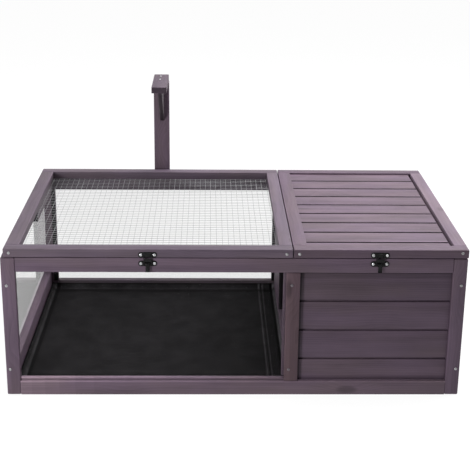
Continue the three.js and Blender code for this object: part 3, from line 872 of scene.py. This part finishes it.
def make_staples(material):
    """Staples under the left lid: each straddles the end of the wires and has its legs in the wood."""
    low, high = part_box("left_lid_mesh")
    crown = low.z + STAPLE_RADIUS - STAPLE_SINK
    tip = high.z + STAPLE_LEG
    made = bmesh.new()
    for axis in (0, 1):
        other = 1 - axis
        count = int((high[axis] - low[axis] - STAPLE_MARGIN) / STAPLE_PITCH)
        start = (low[axis] + high[axis] - count * STAPLE_PITCH) / 2
        up = (0, 1, 0) if axis == 0 else (1, 0, 0)
        for edge in (low[other] + STAPLE_INSET, high[other] - STAPLE_INSET):
            for i in range(count + 1):
                points = []
                for step, z in ((-1, tip), (-1, crown), (1, crown), (1, tip)):
                    point = Vector((0, 0, z))
                    point[axis] = start + i * STAPLE_PITCH + step * STAPLE_SPAN
                    point[other] = edge
                    points.append(point)
                add_wire(made, points, STAPLE_RADIUS, up)
    mesh = finish_mesh("lid_staples", made, ROUND_SMOOTH)
    new_piece("lid_staples", mesh, "left_lid", material, "zinc_hardware")


# Pan-head screws with a cross recess. A head is its radius and height
SCREW_SIDES = 32
SCREW_SMOOTH = 40
SCREW_RINGS = (0.0, 0.12, 0.2, 0.3, 0.42, 0.55, 0.7, 0.84, 0.94, 1.0)
DOME_REACH = 0.97
CROSS_ARM = 0.13
CROSS_REACH = 0.62
CROSS_DEPTH = 0.55
FRAME_HEAD = (3.1 * MM, 1.5 * MM)
ARM_HEAD = (3.0 * MM, 1.4 * MM)
HINGE_HEAD = (2.9 * MM, 1.2 * MM)
# Places in millimetres: across and up on the posts and lids, across and to the rear on the lamp arm
POST_SCREWS = ((-472, 249), (-474, 59), (118.6, 251), (116.3, 59), (472, 251.5), (474, 61))
# The mid post's two screws are drawn duller and darker
DULL_SCREWS = (2, 3)
LID_SCREWS = {"left_lid": ((-464, 321), (106.4, 320)), "right_lid": ((132.7, 320), (470, 323))}
ARM_SCREWS = ((-176, 325), (-176, 284))
# The plates' screws: their steps from the middle, and on the hinges their places from the leaf's end
LATCH_SCREW_STEP = 14.0 * MM
LATCH_PLATE = 1.2 * MM
HINGE_SCREW_STEP = 15.5 * MM
HINGE_LEAF = 1.5 * MM
LID_LEAF_SCREW = 6.5 * MM
BODY_LEAF_SCREW = 7.5 * MM
FRONT = (0, -1, 0)
REAR = (0, 1, 0)
TOP = (0, 0, 1)
LID_FRONT_SEED = 20
LID_REAR_SEED = 30
ARM_SEED = 40
PLATE_SEED = 60


def screw_mesh(name, radius, height):
    """A domed head on the plane z = 0, with a cross pressed into it."""
    arm, reach, depth = CROSS_ARM * radius, CROSS_REACH * radius, CROSS_DEPTH * height
    made = bmesh.new()
    rings = []
    for share in SCREW_RINGS:
        ring = []
        dome = height * math.sqrt(max(0.0, 1 - (share * DOME_REACH) ** 4)) if share < 1 else 0.0
        for k in range(SCREW_SIDES if share else 1):
            angle = 2 * math.pi * k / SCREW_SIDES
            x, y = share * radius * math.cos(angle), share * radius * math.sin(angle)
            in_cross = min(abs(x), abs(y)) < arm and max(abs(x), abs(y)) < reach
            ring.append(made.verts.new((x, y, dome - (depth if in_cross else 0))))
        rings.append(ring)
    for k in range(SCREW_SIDES):
        made.faces.new((rings[0][0], rings[1][k], rings[1][(k + 1) % SCREW_SIDES]))
    for ring, after in zip(rings[1:], rings[2:]):
        for k in range(SCREW_SIDES):
            j = (k + 1) % SCREW_SIDES
            made.faces.new((ring[k], after[k], after[j], ring[j]))
    made.faces.new(list(reversed(rings[-1])))
    return finish_mesh(name, made, SCREW_SMOOTH)


def add_screw(name, at, normal, body, material, head, seed):
    mesh = screw_mesh(name, *head)
    spin = Matrix.Rotation(random.Random(seed).uniform(0, math.pi), 4, "Z")
    turn = Vector(normal).to_track_quat("Z", "Y").to_matrix().to_4x4()
    mesh.transform(Matrix.Translation(at) @ turn @ spin)
    new_piece(name, mesh, body, material, "zinc_hardware")


def make_screws(material, dull):
    front_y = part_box("front_top_rail")[0].y
    rear_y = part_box("rear_top_rail")[1].y
    for i, (x, z) in enumerate(POST_SCREWS):
        at = Vector((x * MM, front_y, z * MM))
        kind = dull if i in DULL_SCREWS else material
        add_screw(f"front_post_screw_{i + 1}", at, FRONT, "enclosure", kind, FRAME_HEAD, i)
    lid_faces = (("front", front_y, FRONT, LID_FRONT_SEED), ("rear", rear_y, REAR, LID_REAR_SEED))
    for body, places in LID_SCREWS.items():
        for i, (x, z) in enumerate(places):
            for face, y, normal, seed in lid_faces:
                at = Vector((x * MM, y, z * MM))
                add_screw(f"{body}_{face}_screw_{i + 1}", at, normal, body, material, FRAME_HEAD, seed + i)
    arm_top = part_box("lamp_arm")[1].z
    for i, (x, y) in enumerate(ARM_SCREWS):
        at = Vector((x * MM, y * MM, arm_top))
        add_screw(f"lamp_arm_screw_{i + 1}", at, TOP, "enclosure", material, ARM_HEAD, ARM_SEED + i)


def make_plate_screws(material):
    """Screws on the latch plates in front and on the hinge leaves behind."""
    front_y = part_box("front_top_rail")[0].y - LATCH_PLATE
    rear_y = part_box("rear_top_rail")[1].y + HINGE_LEAF
    seed = PLATE_SEED
    for side in ("left", "right"):
        for part in ("catch", "base"):
            node = f"{side}_latch_{part}"
            middle = sum(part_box(node), Vector()) / 2
            for i, step in enumerate((-LATCH_SCREW_STEP, LATCH_SCREW_STEP)):
                at = Vector((middle.x + step, front_y, middle.z))
                name = f"{side}_{part}_screw_{i + 1}"
                add_screw(name, at, FRONT, body_of[node], material, FRAME_HEAD, seed)
                seed += 1
    for node, body in body_of.items():
        if node.endswith("_leaf"):
            low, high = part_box(node)
            on_lid = node.endswith("lid_leaf")
            height = high.z - LID_LEAF_SCREW if on_lid else low.z + BODY_LEAF_SCREW
            for i, step in enumerate((-HINGE_SCREW_STEP, HINGE_SCREW_STEP)):
                at = Vector(((low.x + high.x) / 2 + step, rear_y, height))
                add_screw(f"{node}_screw_{i + 1}", at, REAR, body, material, HINGE_HEAD, seed)
                seed += 1


# Liner: a cloth sheet laid on the floor with its four sides turned up against the walls
LINER_THICK = 1.0 * MM
LINER_GAP = 3.0 * MM
LINER_SLOPES = {"left": 11 * MM, "right": 7.0 * MM, "front": 6 * MM, "rear": 7 * MM}
LINER_REAR_TOP = 25.5 * MM
LINER_RIGHT_TOP = 22.0 * MM
# The right side's top edge is wavy: size and turns to a metre
RIGHT_WAVE = (1.6 * MM, 13)
RIGHT_STRAY = (1.2 * MM, 9)
# The foot of a turned-up side: where it rolls, how wide, and how high, and the curve above it
FOOT_AT = 1.15
FOOT_WIDTH = 0.3
FOOT_ROLL = 1.4 * MM
FLAP_CURVE = 0.9
LIFT_BLEND = 4
# Wrinkles: size, then cells to a metre across and to the rear, and a slice of the noise
WRINKLES = ((0.7 * MM, 6, 6, 3), (0.5 * MM, 17, 4, 9))
WRINKLE_FADE = 4 * MM
LINER_CREASES = (77 * MM, 87 * MM)
CREASE_HEIGHT = 1.7 * MM
CREASE_WIDTH = 2.6 * MM
CREASE_STRAY = (1.5 * MM, 5)
# Grid cells, with finer ones beside the creases and this far in from each side
LINER_CELL = 3.5 * MM
LINER_FINE = 0.9 * MM
FINE_SIDES = {"left": 22 * MM, "right": 11 * MM, "front": 12 * MM, "rear": 14 * MM}
FINE_CREASE = 5 * MM


def cloth_lines(low, high, fine):
    """Grid lines across the cloth, closer together where it folds."""
    lines = [low]
    while lines[-1] < high - LINER_FINE:
        close = any(start <= lines[-1] <= end for start, end in fine)
        lines.append(min(high, lines[-1] + (LINER_FINE if close else LINER_CELL)))
    lines[-1] = high
    return lines


def flap(distance, slope, top):
    """The height of a turned-up side at a distance from the wall that it leans on."""
    share = max(0.0, 1 - distance / slope)
    foot = abs(distance - slope * FOOT_AT) / (slope * FOOT_WIDTH)
    return top * share ** FLAP_CURVE + FOOT_ROLL * max(0.0, 1 - foot)


def liner_height(x, y, low, high):
    rear = min(1.0, (y - low.y) / (high.y - low.y))
    floor = low.z + LINER_THICK
    left_top = high.z + (LINER_REAR_TOP - high.z) * rear
    right_top = LINER_RIGHT_TOP + RIGHT_WAVE[0] * math.sin(y * RIGHT_WAVE[1])
    right_top += RIGHT_STRAY[0] * noise.noise(Vector((2, y * RIGHT_STRAY[1], 0)))
    lifts = (
        flap(x - low.x - LINER_GAP, LINER_SLOPES["left"], left_top - floor),
        flap(high.x - x, LINER_SLOPES["right"], right_top - floor),
        flap(y - low.y, LINER_SLOPES["front"], high.z - floor),
        flap(high.y - y, LINER_SLOPES["rear"], LINER_REAR_TOP - floor),
    )
    lift = sum(part ** LIFT_BLEND for part in lifts) ** (1 / LIFT_BLEND)
    wrinkle = 0.0
    for size, across, back, slice_at in WRINKLES:
        wrinkle += size * (1 + noise.noise(Vector((x * across, y * back, slice_at))))
    for i, crease in enumerate(LINER_CREASES):
        stray = CREASE_STRAY[0] * noise.noise(Vector((i, y * CREASE_STRAY[1], 1)))
        wrinkle += CREASE_HEIGHT * max(0.0, 1 - abs(x - crease - stray) / CREASE_WIDTH)
    flat = max(0.0, 1 - lift / WRINKLE_FADE)
    return min(high.z, floor + lift + wrinkle * flat)


def make_liner(material):
    low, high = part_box("run_liner")
    across = (
        (low.x, low.x + FINE_SIDES["left"]),
        (LINER_CREASES[0] - FINE_CREASE, LINER_CREASES[1] + FINE_CREASE),
        (high.x - FINE_SIDES["right"], high.x),
    )
    back = ((low.y, low.y + FINE_SIDES["front"]), (high.y - FINE_SIDES["rear"], high.y))
    columns = cloth_lines(low.x + LINER_GAP, high.x, across)
    rows = cloth_lines(low.y, high.y, back)
    made = bmesh.new()
    grid = [[made.verts.new((x, y, liner_height(x, y, low, high))) for x in columns] for y in rows]
    for line, after in zip(grid, grid[1:]):
        for i in range(len(columns) - 1):
            made.faces.new((line[i], line[i + 1], after[i + 1], after[i]))
    mesh = finish_mesh("liner_cloth", made, ROUND_SMOOTH)
    piece = stand_in("liner_cloth", mesh, "run_liner", material)
    body = piece.modifiers.new("thickness", "SOLIDIFY")
    body.thickness = LINER_THICK
    body.offset = -1


# Black strips down the two sides of the rear pane
STRIP_THICK = 1.5 * MM
STRIP_EASE = 0.5 * MM
STRIP_END = 0.3 * MM
STRIP_EDGES = ((-457 * MM, -446.7 * MM), (110.7 * MM, 117.1 * MM))
STRIP_SEED = 170


def make_strips(material):
    low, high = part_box("rear_pane")
    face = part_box("rear_mid_post")[0].y
    for i, (left, right) in enumerate(STRIP_EDGES):
        name = f"rear_strip_{i + 1}"
        outline = oblong((left, face - STRIP_THICK), (right, face), STRIP_EASE)
        mesh = loft(name, outline, 2, (low.z, high.z), STRIP_END, STRIP_SEED + i)
        new_piece(name, mesh, "enclosure", material, "black_hardware")


# Latches and hinges
BLACK_EASE = 0.35 * MM
ZINC_EASE = 0.2 * MM
BAIL_WIRE = 0.9 * MM
BAIL_CORNER = 2.6 * MM
BAIL_CORNER_STEPS = 5
BAIL_SIDES = 12
WEB_RISE = (9.0 * MM, 16.5 * MM)
WEB_CORNER = 1.0 * MM
WEB_HALF = 0.5 * MM
WEB_EASE = 0.2 * MM


def make_bail(node, material):
    """A loop of round wire with a plate across its lower end."""
    low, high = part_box(node)
    left, right = low.x + BAIL_WIRE, high.x - BAIL_WIRE
    bottom, top = low.z + BAIL_WIRE, high.z - BAIL_WIRE
    corners = [(left, bottom), (right, bottom), (right, top), (left, top)]
    outline = eased(corners, BAIL_CORNER, BAIL_CORNER_STEPS)
    depth = (low.y + high.y) / 2
    made = bmesh.new()
    points = [Vector((x, depth, z)) for x, z in outline]
    add_wire(made, points, BAIL_WIRE, (0, 1, 0), True, BAIL_SIDES)
    stand_in(f"{node}_wire", finish_mesh(f"{node}_wire", made, ROUND_SMOOTH), node, material)
    web = oblong((left, low.z + WEB_RISE[0]), (right, low.z + WEB_RISE[1]), WEB_CORNER)
    mesh = loft(f"{node}_web", web, 1, (depth - WEB_HALF, depth + WEB_HALF), WEB_EASE, 0, 0)
    new_piece(f"{node}_web", mesh, body_of[node], material, slot_of[node])


def make_metalwork(black, zinc):
    for node, slot in slot_of.items():
        if node.endswith("_bail"):
            make_bail(node, black)
        elif slot == "black_hardware":
            eased_copy(node, BLACK_EASE, black)
        elif slot == "zinc_hardware" and node != "left_lid_mesh":
            eased_copy(node, ZINC_EASE, zinc)


# Floor, backdrop and lights
FLOOR_HALF = 14
FLOOR_DROP = 0.4 * MM
FLOOR_GREY = 0.1
FLOOR_GLOW = 0.91
FLOOR_ROUGHNESS = 0.9
BACK_GLOW = 1.02
FRONT_GLOW = (0.16, 0.05)
# Where the glow turns, in the components of the direction: left to right, and front to back
ACROSS_TURN = (-0.7, 0.9)
BACK_TURN = (-0.35, 0.0)
# Place, target, size and power of each light
LIGHTS = {
    "top": ((0.9, 0.6, 2.4), (0.3, 0, 0.3), 2.6, 128),
    "key": ((-0.95, -1.35, 0.6), (0.1, -0.3, 0.2), 0.3, 16.2),
}


def make_stage():
    mesh = bpy.data.meshes.new("floor")
    made = bmesh.new()
    bmesh.ops.create_grid(made, x_segments=1, y_segments=1, size=FLOOR_HALF)
    made.to_mesh(mesh)
    made.free()
    floor = bpy.data.objects.new("floor", mesh)
    floor.location.z = -FLOOR_DROP
    bpy.context.scene.collection.objects.link(floor)
    material, _ = new_material("pale_floor")
    mesh.materials.append(close_material(material, {
        "Base Color": grey(FLOOR_GREY), "Roughness": FLOOR_ROUGHNESS, "Specular IOR Level": 0.0,
        "Emission Color": grey(1.0), "Emission Strength": FLOOR_GLOW,
    }))


def add_light(name, at, target, size, power):
    data = bpy.data.lights.new(name, "AREA")
    data.shape = "RECTANGLE"
    data.size = data.size_y = size
    data.energy = power
    light = bpy.data.objects.new(name, data)
    light.location = at
    light.rotation_euler = (Vector(target) - Vector(at)).to_track_quat("-Z", "Y").to_euler()
    bpy.context.scene.collection.objects.link(light)


def make_lights():
    world = bpy.data.worlds.new("studio")
    bpy.context.scene.world = world
    world.use_nodes = True
    tree = world.node_tree
    tree.nodes.clear()
    # White behind and beside the object, dimmer in front of it and brighter to its left
    aim = separate(tree, add_node(tree, "ShaderNodeTexCoord").outputs["Generated"])
    front = ramp(tree, aim[0], *ACROSS_TURN, *FRONT_GLOW)
    share = ramp(tree, aim[1], *BACK_TURN)
    glow = calc(tree, "MULTIPLY_ADD", share, calc(tree, "SUBTRACT", BACK_GLOW, front), front)
    background = add_node(tree, "ShaderNodeBackground", {"Color": grey(1.0), "Strength": glow})
    add_node(tree, "ShaderNodeOutputWorld", {"Surface": background.outputs[0]})
    for name, values in LIGHTS.items():
        add_light(name, *values)
    bpy.context.scene.view_settings.view_transform = "Standard"
    bpy.context.scene.view_settings.look = "None"


def clear_panes():
    for node, loss in CLEAR_LOSS.items():
        pane = frame["nodes"][node]
        pane.data.materials.clear()
        pane.data.materials.append(clear_material(node, loss))


def main():
    add_camera()
    make_stage()
    make_lights()
    metals = {name: metal_material(name, *values) for name, values in METALS.items()}
    clear_panes()
    make_frames()
    make_hide()
    make_ledged_members()
    make_wire_mesh(metals["galvanised_wire"])
    make_staples(metals["galvanised_wire"])
    make_metalwork(metals["black_metal"], metals["zinc_plate"])
    make_screws(metals["screw_steel"], metals["screw_dull"])
    make_plate_screws(metals["zinc_plate"])
    make_liner(liner_material())
    make_strips(metals["black_strip"])


main()
